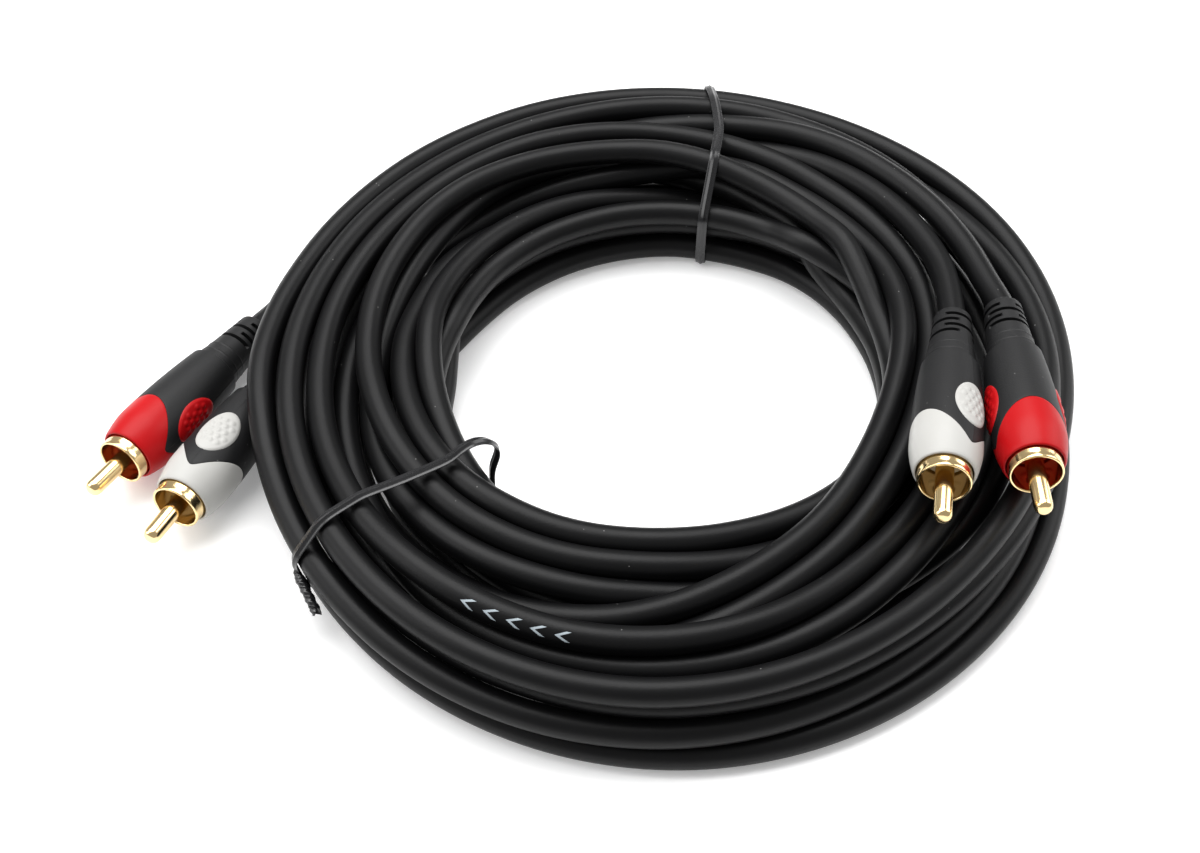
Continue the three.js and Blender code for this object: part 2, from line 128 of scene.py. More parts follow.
# Each plug: the ring's centre from the coil's centre, the way its cord leaves in degrees of compass and rise,
# the turn of its pads from straight up, and the tail's route in shares of the coil's radius, with cord
# diameters above FLOOR_REST. The right tails' routes are the last part of the windings below.
PLUGS = {
    "left_red": {
        "finish": "red", "ring": (-100.001, -17.404, 8.324), "heading": 62.2, "rise": -5.8,
        "roll": 80, "route": [[-1.0144, 0.3294, 0.04], [-0.9647, 0.4131, 0], [-0.8993, 0.4993, 0],
                              [-0.8131, 0.583, 0], [-0.7124, 0.6536, 0]],
    },
    "left_white": {
        "finish": "white", "ring": (-88.197, -27.701, 8.324), "heading": 66.8, "rise": -5.8,
        "roll": 4, "route": [[-0.9046, 0.2144, 0.06], [-0.8627, 0.3033, 0]],
    },
    "right_white": {
        "finish": "white", "ring": (45.9, -35.901, 26.267), "heading": 79.5, "rise": -5.6,
        "roll": 36.5, "route": [],
    },
    "right_red": {
        "finish": "red", "ring": (61.797, -33.997, 26.199), "heading": 88.1, "rise": -5.4,
        "roll": 92, "route": [],
    },
}

# The two jackets of the twin cord: each goes from one left plug round the coil to the right plug of its
# colour. Its centreline is given every ten degrees, clockwise from the first compass place, as distances from
# the coil's centre and heights, both in tenths of a millimetre.
WIND_STEP = 10
WINDINGS = {
    "red": (125, [
        741, 741, 741, 741, 741, 741, 742, 743, 744, 745, 747, 748, 749, 749, 747, 745, 743, 741, 740, 740,
        740, 740, 739, 738, 737, 736, 734, 732, 729, 726, 720, 725, 735, 741, 745, 750, 753, 755, 755, 753,
        751, 750, 748, 747, 746, 744, 739, 731, 721, 708, 696, 686, 678, 675, 677, 682, 689, 696, 702, 704,
        704, 702, 699, 696, 694, 693, 693, 694, 695, 698, 702, 706, 711, 716, 722, 728, 734, 736, 733, 726,
        714, 701, 689, 677, 664, 651, 642, 628, 611, 593, 577, 562, 547, 534, 529, 522, 519, 515, 511, 507,
        503, 493, 481, 473, 463, 447, 439, 438, 439, 442, 445, 449, 453, 453, 457, 463, 463, 459, 453, 448,
        444, 441, 438, 436, 433, 431, 429, 427, 426, 426, 425, 425, 424, 423, 423, 424, 425, 428, 427, 422,
        433, 455, 464, 466, 468, 470, 471, 473, 476, 479, 485, 495, 506, 505, 509, 513, 517, 522, 525, 525,
        521, 514, 505, 496, 491, 489, 494, 507, 518, 529, 539, 546, 549, 548, 545, 543, 547, 556, 570, 589,
        608, 618, 614, 603, 587, 560, 523, 491, 458, 450, 442, 439, 436, 432, 429, 425, 423, 422, 421, 421,
        423, 424, 426, 427, 427, 425, 423, 422, 423, 426, 433, 443, 456, 467, 477, 487, 497, 506, 513, 519,
        528, 538, 546, 551, 556, 558, 559, 558, 554, 550, 544, 541, 541, 546, 555, 570, 587, 600, 609, 618,
        624, 630, 634, 637, 637, 638, 638, 640, 644, 647, 651, 656, 658, 657, 650, 643, 631, 616, 599, 584,
        572, 559, 543, 522, 502, 484, 474, 472, 476, 487, 503, 520, 541, 565, 585, 600, 613, 623, 632, 637,
        638, 637, 634, 637, 641, 643, 645, 650, 658, 668, 677, 683, 685, 686, 688, 682, 669, 657, 645, 635
    ], [
        26, 26, 26, 26, 26, 26, 26, 26, 26, 26, 26, 26, 26, 26, 26, 26, 26, 26, 26, 26, 26, 26, 27, 30, 35,
        41, 49, 58, 70, 84, 104, 109, 100, 97, 97, 97, 98, 100, 101, 102, 103, 105, 107, 111, 116, 124,
        133, 141, 147, 151, 153, 155, 157, 158, 158, 159, 159, 159, 159, 158, 158, 157, 157, 157, 158, 160,
        162, 163, 161, 158, 157, 156, 156, 157, 158, 160, 160, 159, 157, 156, 155, 150, 142, 132, 122, 114,
        106, 100, 98, 98, 99, 98, 90, 85, 88, 88, 90, 90, 88, 84, 80, 76, 68, 48, 26, 26, 26, 26, 26, 26,
        26, 26, 26, 26, 26, 26, 26, 26, 26, 26, 26, 26, 26, 26, 26, 26, 26, 26, 26, 26, 26, 26, 27, 28, 29,
        31, 34, 40, 48, 56, 69, 78, 69, 68, 67, 68, 69, 70, 71, 70, 74, 65, 68, 78, 76, 74, 71, 72, 76, 82,
        88, 95, 101, 106, 112, 116, 126, 136, 140, 139, 135, 129, 122, 116, 113, 115, 120, 127, 131, 131,
        131, 127, 116, 105, 99, 107, 113, 119, 92, 76, 77, 77, 76, 76, 75, 75, 75, 75, 77, 81, 88, 93, 98,
        101, 103, 106, 110, 117, 126, 136, 147, 157, 161, 153, 144, 136, 127, 118, 107, 93, 81, 61, 62, 71,
        72, 77, 85, 97, 106, 114, 123, 132, 140, 146, 152, 157, 163, 165, 164, 166, 170, 174, 174, 169,
        163, 160, 159, 158, 156, 157, 158, 160, 164, 168, 170, 167, 165, 166, 166, 162, 162, 162, 163, 165,
        166, 167, 168, 167, 166, 162, 157, 150, 141, 129, 110, 97, 85, 77, 74, 77, 81, 83, 82, 83, 87, 94,
        101, 108, 113, 119, 127, 137, 151, 165, 178, 188, 196, 203, 208, 214
    ]),
    "white": (150, [
        695, 687, 687, 689, 690, 690, 690, 691, 691, 692, 693, 694, 696, 698, 700, 702, 704, 705, 705, 705,
        704, 707, 713, 720, 727, 732, 736, 738, 739, 739, 740, 741, 745, 751, 749, 747, 749, 753, 758, 763,
        769, 774, 779, 783, 784, 787, 791, 794, 792, 782, 767, 749, 731, 713, 698, 687, 681, 680, 683, 686,
        691, 693, 693, 692, 690, 688, 686, 682, 674, 669, 680, 690, 694, 697, 701, 705, 706, 705, 703, 701,
        696, 691, 683, 674, 666, 659, 651, 637, 625, 614, 604, 597, 591, 585, 581, 575, 567, 558, 547, 536,
        527, 526, 532, 530, 521, 518, 519, 507, 499, 496, 497, 498, 501, 504, 506, 503, 505, 519, 534, 529,
        513, 503, 496, 493, 490, 487, 485, 483, 482, 481, 479, 478, 477, 476, 474, 472, 469, 464, 457, 448,
        441, 438, 432, 426, 432, 440, 444, 448, 450, 452, 453, 454, 453, 449, 438, 454, 472, 477, 479, 480,
        479, 476, 471, 463, 455, 449, 446, 446, 448, 454, 464, 475, 487, 499, 510, 522, 535, 550, 564, 578,
        589, 598, 600, 598, 591, 577, 557, 532, 513, 498, 483, 469, 449, 439, 437, 436, 433, 429, 423, 416,
        408, 401, 397, 396, 398, 404, 414, 425, 436, 448, 460, 470, 479, 487, 495, 501, 512, 523, 530, 533,
        548, 565, 576, 585, 593, 598, 604, 607, 608, 609, 606, 602, 597, 592, 591, 594, 601, 611, 621, 629,
        636, 641, 645, 643, 635, 623, 612, 604, 598, 594, 593, 593, 593, 590, 585, 579, 568, 560, 560, 563,
        556, 542, 528, 515, 501, 482, 461, 442, 428, 422, 423, 431, 445, 462, 482, 507, 532, 551, 563, 571,
        578, 585, 590, 593, 593, 594, 602, 613, 623, 630, 634, 641, 648, 654, 652, 651, 650, 642, 626, 608,
        590, 571
    ], [
        26, 26, 26, 26, 26, 26, 26, 26, 26, 27, 28, 29, 32, 35, 40, 45, 50, 55, 59, 61, 64, 66, 69, 72, 75,
        78, 83, 89, 97, 107, 117, 127, 140, 153, 152, 148, 147, 147, 148, 148, 148, 147, 145, 143, 142,
        140, 136, 131, 125, 120, 116, 113, 111, 109, 109, 108, 108, 108, 109, 109, 109, 109, 109, 108, 108,
        108, 108, 110, 114, 118, 113, 109, 104, 99, 93, 89, 86, 88, 92, 93, 94, 93, 91, 88, 83, 77, 70, 66,
        62, 57, 51, 48, 49, 51, 50, 50, 52, 50, 47, 44, 40, 36, 32, 28, 26, 26, 27, 30, 30, 29, 27, 26, 26,
        26, 26, 26, 26, 26, 26, 26, 26, 26, 26, 26, 26, 26, 26, 26, 26, 26, 26, 27, 28, 31, 34, 40, 48, 58,
        70, 82, 92, 101, 113, 123, 117, 113, 113, 113, 114, 116, 117, 118, 121, 127, 146, 134, 118, 113,
        107, 103, 102, 102, 103, 107, 113, 120, 129, 139, 147, 151, 152, 153, 155, 156, 159, 161, 163, 163,
        164, 167, 172, 178, 182, 179, 177, 180, 189, 193, 185, 178, 177, 182, 167, 146, 134, 128, 126, 126,
        125, 126, 131, 136, 142, 146, 149, 151, 153, 155, 157, 156, 155, 152, 148, 143, 136, 126, 116, 104,
        89, 71, 63, 60, 52, 50, 57, 61, 65, 70, 76, 83, 92, 102, 114, 128, 140, 148, 146, 139, 133, 128,
        125, 123, 124, 124, 125, 124, 122, 119, 116, 111, 105, 96, 89, 82, 82, 95, 111, 124, 136, 153, 159,
        154, 155, 159, 166, 173, 178, 178, 177, 176, 176, 174, 171, 169, 166, 161, 149, 132, 115, 97, 84,
        73, 66, 60, 55, 51, 51, 49, 48, 53, 61, 69, 78, 89, 104, 121, 139, 160, 178, 191, 201, 210
    ]),
}

# The ties: the way round the bundle in which a loop's slack lies and the slack's width, in radians; the
# ribbon's clearance and film, and the width of its wire's ridge; and the twisted end's length, turns and
# droop. Lengths are in millimetres. Each tie: its compass place on the coil, how far its loop stands off the
# inner top edge, how far it strays clockwise from the inner to the outer edge in five equal steps, and its
# twisted end's height and way, in degrees from up.
SLACK_WAY = math.radians(142)
SLACK_WIDTH = 0.62
TIE_CLEARANCE = 0.2
RIBBON_FILM = 0.32
RIBBON_WIRE_WIDTH = 0.34
TWIST_LENGTH = 8.0
TWIST_TURNS = 2.2
TWIST_DROOP = 1.2
TIES = {
    "back_twist_tie": {
        "heading": 80, "slack": 0.0, "stray": (1.6, 2.4, 2.2, 0.2, -2.6), "twist_height": 9.0,
        "twist_lean": 75,
    },
    "front_twist_tie": {
        "heading": 213, "slack": 5.0, "stray": (0.0, -0.5, -0.3, 0.6, 0.0), "twist_height": 9.0,
        "twist_lean": 260,
    },
}


def length_setting(name, description, default):
    return FloatProperty(name=name, description=description, default=default, unit="LENGTH")


def colour_setting(name, description, default):
    return FloatVectorProperty(name=name, description=description, default=default, subtype="COLOR")


class CordSettings(bpy.types.PropertyGroup):
    diameter: length_setting("Diameter", "Across one jacket of the twin cord", 0.005)
    length: length_setting("Length", "Of each jacket, from plug to plug", 3.10)
    sides: IntProperty(name="Sides", description="Faces round a jacket", default=24)
    jacket: colour_setting("Jacket", "Colour of the soft plastic jacket", (0.0035, 0.0035, 0.0038))
    ink: colour_setting("Ink", "Colour of the arrows printed on one jacket", (0.42, 0.48, 0.52))


class PlugSettings(bpy.types.PropertyGroup):
    sides: IntProperty(name="Sides", description="Faces round a turned part", default=96)
    red: colour_setting("Red", "Colour of the red moulding", (0.42, 0.004, 0.006))
    white: colour_setting("White", "Colour of the white moulding", (0.46, 0.455, 0.435))
    grip: colour_setting("Grip", "Colour of the black moulding", (0.007, 0.007, 0.0075))
    gold: colour_setting("Gold", "Colour of the plating", (0.93, 0.70, 0.36))


class TieSettings(bpy.types.PropertyGroup):
    width: length_setting("Width", "Across the ribbon", 0.0020)
    wire: length_setting("Wire", "Thickness over the wire in the ribbon", 0.0009)
    coat: colour_setting("Coat", "Colour of the ribbon's coat", (0.008, 0.008, 0.009))


class StageSettings(bpy.types.PropertyGroup):
    lens: FloatProperty(name="Lens", description="Focal length on a 36 mm sensor, in mm", default=49.7)
    elevation: FloatProperty(name="Elevation", description="How far the camera looks down",
                             default=math.radians(50.7), subtype="ANGLE")
    distance: length_setting("Distance", "From the camera to the point it looks at", 0.320)
    floor: colour_setting("Floor", "Colour of the floor", (0.90, 0.90, 0.90))


class Wave:
    """A socket of a node tree that adds Math nodes when it is used in an expression."""

    def __init__(self, shader, socket):
        self.shader = shader
        self.socket = socket

    def _maths(self, operation, first, second=None):
        values = {0: first} if second is None else {0: first, 1: second}
        return self.shader.node("ShaderNodeMath", {"operation": operation}, values)

    def __add__(self, other):
        return self._maths("ADD", self, other)

    def __sub__(self, other):
        return self._maths("SUBTRACT", self, other)

    def __rsub__(self, other):
        return self._maths("SUBTRACT", other, self)

    def __mul__(self, other):
        return self._maths("MULTIPLY", self, other)

    def __gt__(self, other):
        return self._maths("GREATER_THAN", self, other)

    def __lt__(self, other):
        return self._maths("LESS_THAN", self, other)

    def __abs__(self):
        return self._maths("ABSOLUTE", self)

    def __mod__(self, other):
        return self._maths("FLOORED_MODULO", self, other)

    def over(self, low, high):
        """Zero below low, one above high and smooth between."""
        return self.shader.node("ShaderNodeMapRange", {"interpolation_type": "SMOOTHSTEP"},
                                {"Value": self, "From Min": low, "From Max": high})


class Shader:
    """A material with one Principled shader, built by expressions."""

    def __init__(self, name, **constants):
        self.material = bpy.data.materials.new(name)
        self.material.use_nodes = True
        self.tree = self.material.node_tree
        self.principled = self.tree.nodes["Principled BSDF"]
        for socket, value in constants.items():
            self.put(self.principled.inputs[socket.replace("_", " ")], value)

    def put(self, socket, value):
        if isinstance(value, Wave):
            self.tree.links.new(value.socket, socket)
        elif isinstance(value, (tuple, list)) and len(value) == 3 and socket.type == "RGBA":
            socket.default_value = (*value, 1.0)
        else:
            socket.default_value = value

    def node(self, kind, settings=None, values=None, output=0):
        """Any node: its type, its settings, and the values or links of its sockets."""
        made = self.tree.nodes.new(kind)
        for key, value in (settings or {}).items():
            setattr(made, key, value)
        for key, value in (values or {}).items():
            self.put(made.inputs[key], value)
        return Wave(self, made.outputs[output])

    def place(self):
        return self.node("ShaderNodeTexCoord", output="Object")

    def noise(self, scale, detail, rough=0.5):
        values = {"Vector": self.place(), "Scale": scale, "Detail": detail, "Roughness": rough}
        return self.node("ShaderNodeTexNoise", {}, values)

    def colour(self, factor, low, high):
        values = {0: factor, 6: low, 7: high}
        return self.node("ShaderNodeMix", {"data_type": "RGBA"}, values, output=2)

    def bump(self, height, distance):
        return self.node("ShaderNodeBump", {}, {"Height": height, "Distance": distance})

    def set(self, **sockets):
        for socket, value in sockets.items():
            self.put(self.principled.inputs[socket.replace("_", " ")], value)
        return self.material


def shade(colour, by):
    return tuple(min(1.0, c * by) for c in colour)


def dust(shader, scale, size):
    """Few small round specks: the cells of a Voronoi pattern whose centre is near and whose random value is
    high."""
    cells = shader.node("ShaderNodeTexVoronoi", {}, {"Vector": shader.place(), "Scale": scale})
    rare = shader.noise(scale * 0.13, 0.0).over(0.62, 0.64)
    return (1 - cells.over(size * 0.6, size)) * rare


def soft_plastic(name, colour, rough, shine, grain, mottling=0.12, specks=0.5, ink=None):
    """Moulded soft plastic: faint cloudy colour, a fine matt grain and a few specks of dust. The ink's mask,
    where there is one, reads the piece's own UV map."""
    shader = Shader(name, Specular_IOR_Level=shine, IOR=1.42)
    cloud = shader.noise(90.0, 3.0, 0.6)
    fine = shader.noise(2600.0, 2.0, 0.6)
    speck = dust(shader, 460.0, 0.065) * specks
    base = shader.colour(cloud, shade(colour, 1 - mottling), shade(colour, 1 + mottling))
    base = shader.colour(speck, base, (0.32, 0.32, 0.31))
    gloss = cloud * 0.10 + fine * 0.06 + (rough - 0.08)
    if ink is not None:
        mask, pigment = ink(shader)
        base = shader.colour(mask, base, pigment)
        gloss = gloss + mask * 0.08
    normal = shader.bump(fine * 0.7 + cloud * 0.3 + speck * 0.5, grain)
    return shader.set(Base_Color=base, Roughness=gloss, Normal=normal)


def gold_plate(name, colour):
    """Bright plating over turned brass: fine turning marks and small changes of gloss."""
    shader = Shader(name, Metallic=1.0)
    cloud = shader.noise(260.0, 3.0, 0.6)
    fine = shader.noise(3800.0, 2.0, 0.7)
    base = shader.colour(cloud, shade(colour, 0.90), shade(colour, 1.05))
    return shader.set(Base_Color=base, Roughness=cloud * 0.12 + 0.10, Normal=shader.bump(fine, 0.000004))


def bare_metal(name, colour):
    """Drawn wire: cloudy colour and gloss."""
    shader = Shader(name, Metallic=1.0)
    cloud = shader.noise(500.0, 3.0, 0.6)
    base = shader.colour(cloud, shade(colour, 0.75), shade(colour, 1.1))
    return shader.set(Base_Color=base, Roughness=cloud * 0.2 + 0.25, Normal=shader.bump(cloud, 0.00002))


def arrow_print(start, top, ink):
    """The mask of the arrows printed along a jacket. With along as the length past the start and across as
    the distance round from the print's middle line, along plus the slant times across is the same all along a
    stroke. An arrow covers where that number, counted from the arrow's own start, is between nought and the
    stroke's length."""

    def mask(shader):
        uv = shader.node("ShaderNodeUVMap", {"uv_map": "UVMap"})
        made = shader.tree.nodes.new("ShaderNodeSeparateXYZ")
        shader.tree.links.new(uv.socket, made.inputs[0])
        along = Wave(shader, made.outputs[0]) - start
        across = abs((Wave(shader, made.outputs[1]) - top) * (2 * math.pi * CORD_R * MM))
        slanted = along + across * ARROW_SLANT
        inside = (slanted % ARROW_PITCH < ARROW_STROKE) * (across < ARROW_HALF_WIDTH)
        return inside * (slanted > 0.0) * (slanted < ARROW_PITCH * ARROW_COUNT) * 0.92, ink

    return mask


def grid_faces(rows, columns, closed):
    """Quads between the neighbours of a grid whose columns join up; its rows join up too where closed."""
    i = np.arange(rows if closed else rows - 1)[:, None]
    j = np.arange(columns)[None, :]
    following, beside = (i + 1) % rows, (j + 1) % columns
    corners = [i * columns + j, i * columns + beside, following * columns + beside, following * columns + j]
    return np.stack(np.broadcast_arrays(*corners), -1).reshape(-1, 4)


def fan(end, columns, pole, forward):
    """Triangles from the end row of a grid to one pole."""
    j = np.arange(columns)
    a, b = end * columns + j, end * columns + (j + 1) % columns
    ring = (b, a) if forward else (a, b)
    return np.stack([*ring, np.full(columns, pole)], -1)


def shell(grid, closed=False):
    """Points and faces of a closed surface over a grid of rows by columns: a ring of rows, or rows whose two
    ends are closed by a pole at the end row's middle. Faces are turned outwards by the sign of the enclosed
    volume, and the last value says whether they were."""
    rows, columns = grid.shape[:2]
    points = grid.reshape(-1, 3)
    quads = grid_faces(rows, columns, closed)
    threes = np.zeros((0, 3), int)
    if not closed:
        poles = np.array([grid[0].mean(0), grid[-1].mean(0)])
        first, last = len(points), len(points) + 1
        points = np.vstack([points, poles])
        threes = np.vstack([fan(0, columns, first, True), fan(rows - 1, columns, last, False)])
    middle = points.mean(0)
    p = points - middle
    volume = 0.0
    for faces in (quads[:, [0, 1, 2]], quads[:, [0, 2, 3]], threes):
        volume += np.einsum("ij,ij->", p[faces[:, 0]], np.cross(p[faces[:, 1]], p[faces[:, 2]]))
    if volume < 0:
        quads, threes = quads[:, ::-1], threes[:, ::-1]
    return points, quads, threes, volume < 0


def piece(name, shells, material, nodes, crease=35, uv=None):
    """One object from several closed surfaces, in millimetres from the coil's centre, which rides on the root
    body and stands for its CAD nodes."""
    points, faces, start = [], [], 0
    for body in shells:
        points.append(body[0])
        faces += (body[1] + start).tolist() + (body[2] + start).tolist()
        start += len(body[0])
    mesh = bpy.data.meshes.new(name)
    mesh.from_pydata(((np.vstack(points) + COIL_CENTRE) * MM).tolist(), [], faces)
    if uv is not None:
        layer = mesh.uv_layers.new(name="UVMap")
        layer.data.foreach_set("uv", uv.astype(np.float32).ravel())
    mesh.polygons.foreach_set("use_smooth", np.ones(len(mesh.polygons), bool))
    mesh.set_sharp_from_angle(angle=math.radians(crease))
    mesh.validate()
    mesh.update()
    made = bpy.data.objects.new(name, mesh)
    bpy.context.collection.objects.link(made)
    mesh.materials.append(material)
    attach(made, "root")
    if nodes:
        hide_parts(*nodes)
    return made


def unit(v):
    return v / np.linalg.norm(v, axis=-1, keepdims=True)


def plug_axes(plug):
    """The ring's centre, and the plug's sideways, backward and upward directions before its pads are
    turned."""
    heading, rise = math.radians(plug["heading"]), math.radians(plug["rise"])
    back = np.array([math.cos(rise) * math.cos(heading), math.cos(rise) * math.sin(heading), math.sin(rise)])
    side = unit(np.cross(back, [0.0, 0.0, 1.0]))
    return np.array(plug["ring"]), side, back, np.cross(side, back)


def on_plug(plug, radius, angle, station):
    """Points at a radius, an angle from the pads and a station behind the ring's rim: the ring's centre, plus
    the station along the back direction, plus the radius times the sine and cosine of the angle plus the roll
    along the side and up directions."""
    ring, side, back, up = plug_axes(plug)
    radius, angle, station = np.broadcast_arrays(radius, angle + math.radians(plug["roll"]), station)
    return (ring + station[..., None] * back + (radius * np.sin(angle))[..., None] * side
            + (radius * np.cos(angle))[..., None] * up)


def in_plug(plug, across, station, out):
    """As on_plug, from distances across the pad's direction and along it."""
    return on_plug(plug, np.hypot(across, out), np.arctan2(across, out), station)


def skin_radius(s):
    """The plug's outer radius at a station: a quarter sine up to the widest place, a square-law taper to the
    shoulder, and straight tapers of the step, the neck and the strain relief."""
    swell = SLEEVE_FRONT_R + (WIDEST_R - SLEEVE_FRONT_R) * np.sin(
        np.clip((s - RING_STAND) / (WIDEST_AT - RING_STAND), 0, 1) * math.pi / 2)
    taper = WIDEST_R + (SHOULDER_R - WIDEST_R) * ((s - WIDEST_AT) / (SHOULDER_AT - WIDEST_AT)) ** 2
    stations = [SHOULDER_AT, SHOULDER_AT + SHOULDER_LENGTH, RELIEF_AT, PLUG_LENGTH]
    rear = np.interp(s, stations, [SHOULDER_R, NECK_R, RELIEF_R, RELIEF_END_R])
    return np.where(s < WIDEST_AT, swell, np.where(s < SHOULDER_AT, taper, rear))


def split_station(angle):
    """Where the coloured sleeve meets the grip: forward at the pads and back between them, by the size of the
    sine of the angle, rounded at its foot."""
    rounded = np.sqrt(np.sin(angle) ** 2 + DIP_ROUNDING ** 2) - DIP_ROUNDING
    return DIP_AT + (LOBE_AT - DIP_AT) * rounded / (math.sqrt(1 + DIP_ROUNDING ** 2) - DIP_ROUNDING)


def turned(plug, profile, sides):
    """A profile of radius and station pairs turned about the plug's axis."""
    profile = np.array(profile, float)
    angle = np.arange(sides) / sides * 2 * math.pi
    return on_plug(plug, profile[:, :1], angle[None, :], profile[:, 1:])


def in_the_round(plug, rows, angles):
    """Rows of radius and station pairs, one number of each for every angle, set round the plug's axis."""
    radius, station = (np.array(part) for part in zip(*rows))
    return on_plug(plug, radius, angles[None, :], station)


def rounded_corner(centre_r, centre_s, size, start, end, steps=5):
    """Pairs along an arc from one angle to another, in degrees from outwards towards the back."""
    a = np.radians(np.linspace(start, end, steps))
    return [(centre_r + size * math.cos(t), centre_s + size * math.sin(t)) for t in a]


def through(points, step):
    """A smooth line through points, the centripetal Catmull-Rom spline: each span blends its two neighbours'
    straight lines by the square root of the distances, then it is cut into equal steps."""
    p = np.vstack([2 * points[0] - points[1], points, 2 * points[-1] - points[-2]])
    knots = np.concatenate([[0], np.cumsum(np.linalg.norm(np.diff(p, axis=0), axis=1) ** 0.5)])
    a, b, c, d = p[:-3, None], p[1:-2, None], p[2:-1, None], p[3:, None]
    ta, tb, tc, td = (k[:, None, None] for k in (knots[:-3], knots[1:-2], knots[2:-1], knots[3:]))
    t = tb + (tc - tb) * np.linspace(0, 1, 16, endpoint=False)[None, :, None]
    ab = ((tb - t) * a + (t - ta) * b) / (tb - ta)
    bc = ((tc - t) * b + (t - tb) * c) / (tc - tb)
    cd = ((td - t) * c + (t - tc) * d) / (td - tc)
    abc = ((tc - t) * ab + (t - ta) * bc) / (tc - ta)
    bcd = ((td - t) * bc + (t - tb) * cd) / (td - tb)
    line = np.vstack([(((tc - t) * abc + (t - tb) * bcd) / (tc - tb)).reshape(-1, 3), points[-1:]])
    return evenly(line, step)


def walked_along(line):
    """The length from a polyline's start to each of its points."""
    return np.concatenate([[0], np.cumsum(np.linalg.norm(np.diff(line, axis=0), axis=1))])


def evenly(line, step):
    """A polyline cut again into equal steps of about the given length."""
    walked = walked_along(line)
    at = np.linspace(0, walked[-1], max(2, int(round(walked[-1] / step)) + 1))
    return np.stack([np.interp(at, walked, line[:, k]) for k in range(3)], -1)


def wound(start, radii, heights):
    """A jacket's points in the coil: at each ten degrees on, the distance out along the compass place, and
    up."""
    a = np.radians(start - WIND_STEP * np.arange(len(radii)))
    r, z = np.array(radii) / 10, np.array(heights) / 10
    return np.stack([r * np.cos(a), r * np.sin(a), z], -1)


def tail(plug):
    """A tail's points, from inside the plug's bore to its end in the coil."""
    ring, _, back, _ = plug_axes(plug)
    inside = np.linspace(TAIL_START, PLUG_LENGTH, 3)[:, None] * back + ring
    route = np.array(plug["route"]).reshape(-1, 3) * [COIL_OUTER_R, COIL_OUTER_R, 2 * CORD_R]
    return np.vstack([inside, route + [0, 0, FLOOR_REST + CORD_R]])


def cord_line(colour, step=2.0):
    """The centreline of one jacket, from its left plug to its right plug."""
    start, radii, heights = WINDINGS[colour]
    points = np.vstack([tail(PLUGS["left_" + colour]), wound(start, radii, heights),
                        tail(PLUGS["right_" + colour])[::-1]])
    line = through(points, step)
    line[:, 2] = np.maximum(line[:, 2], CORD_R + FLOOR_REST)
    return line


def tube(line, radius, sides):
    """Rings round a line: at each point the radius times the cosine along the level direction across the
    line, and times the sine along the direction square to both. The first side is at the top and the count
    goes outwards."""
    along = unit(np.gradient(line, axis=0))
    across = unit(np.cross(along, [0.0, 0.0, 1.0]))
    up = np.cross(across, along)
    a = np.arange(sides) / sides * 2 * math.pi
    cosine, sine = np.cos(a)[None, :, None], np.sin(a)[None, :, None]
    return line[:, None] + radius * (cosine * up[:, None] - sine * across[:, None])


def tube_uv(line, sides, body):
    """The UV of a tube's face corners: the length walked, in metres, and the share of the way round."""
    walked = walked_along(line) * MM
    rows = len(line)
    i, j = np.meshgrid(np.arange(rows - 1), np.arange(sides), indexing="ij")
    u = np.stack([walked[i], walked[i], walked[i + 1], walked[i + 1]], -1).reshape(-1, 4)
    v = np.stack([j, j + 1, j + 1, j], -1).reshape(-1, 4) / sides
    quads = np.stack([u, v], -1)
    if body[3]:
        quads = quads[:, ::-1]
    caps = np.zeros((len(body[2]) * 3, 2))
    return np.vstack([quads.reshape(-1, 2), caps])


class PHONO_OT_cords(bpy.types.Operator):
    """Lay the two jackets of the twin cord, from plug to plug"""
    bl_idname = "phono.cords"
    bl_label = "Cords"

    def execute(self, context):
        cord = context.scene.phono_cord
        lines = {colour: cord_line(colour) for colour in ("red", "white")}
        # The arrows lie on the red jacket's seventh turn, at the front of the coil.
        walked = walked_along(lines["red"]) * MM
        compass = np.degrees(np.unwrap(np.arctan2(lines["red"][:, 1], lines["red"][:, 0])))
        start = float(np.interp(-PRINT_AT, -compass, walked))
        finish = (tuple(cord.jacket), 0.42, 0.24, 0.00003)
        plain = soft_plastic("jacket_black", *finish)
        arrows = arrow_print(start, PRINT_TOP, tuple(cord.ink))
        printed = soft_plastic("jacket_black_printed", *finish, ink=arrows)
        for colour, line in lines.items():
            body = shell(tube(line, cord.diameter / 2 / MM, cord.sides))
            made = piece(f"{colour}_cord", [body], printed if colour == "red" else plain,
                         [f"left_{colour}_tail", f"right_{colour}_tail", "twin_cord_coil"],
                         uv=tube_uv(line, cord.sides, body))
            exit_point = on_plug(PLUGS["left_" + colour], 0.0, 0.0, PLUG_LENGTH) + COIL_CENTRE
            tuple(exit_point * MM)
        return {"FINISHED"}


def pin_profile():
    """A round-nosed pin, its collar behind the insulator and its solder cup."""
    nose = [(0.55, -8.2), (0.85, -8.16), (1.12, -8.02), (1.35, -7.78), (1.52, -7.42), (1.6, -6.95)]
    collar = [(1.6, 12.95), (1.65, 13.0), (2.55, 13.0), (2.6, 13.05), (2.6, 13.95), (2.55, 14.0), (1.6, 14.0)]
    return nose + collar + [(1.6, 16.95), (1.55, 17.0), (1.05, 17.0), (1.0, 16.95), (1.0, 13.5)]


def ring_profile():
    """The ground shell: a thin ring with a rolled front rim, the cup's floor and the stem behind it."""
    rim = rounded_corner(4.4, 0.25, 0.25, -170, -10, 9)
    return rim + [(4.65, 0.6), (4.62, 0.95), (4.62, 1.3), (4.65, 1.5), (4.65, 8.3), (3.7, 8.3), (3.7, 13.0),
                  (3.2, 13.0), (3.2, 7.8), (4.15, 7.8), (4.15, 0.5)]


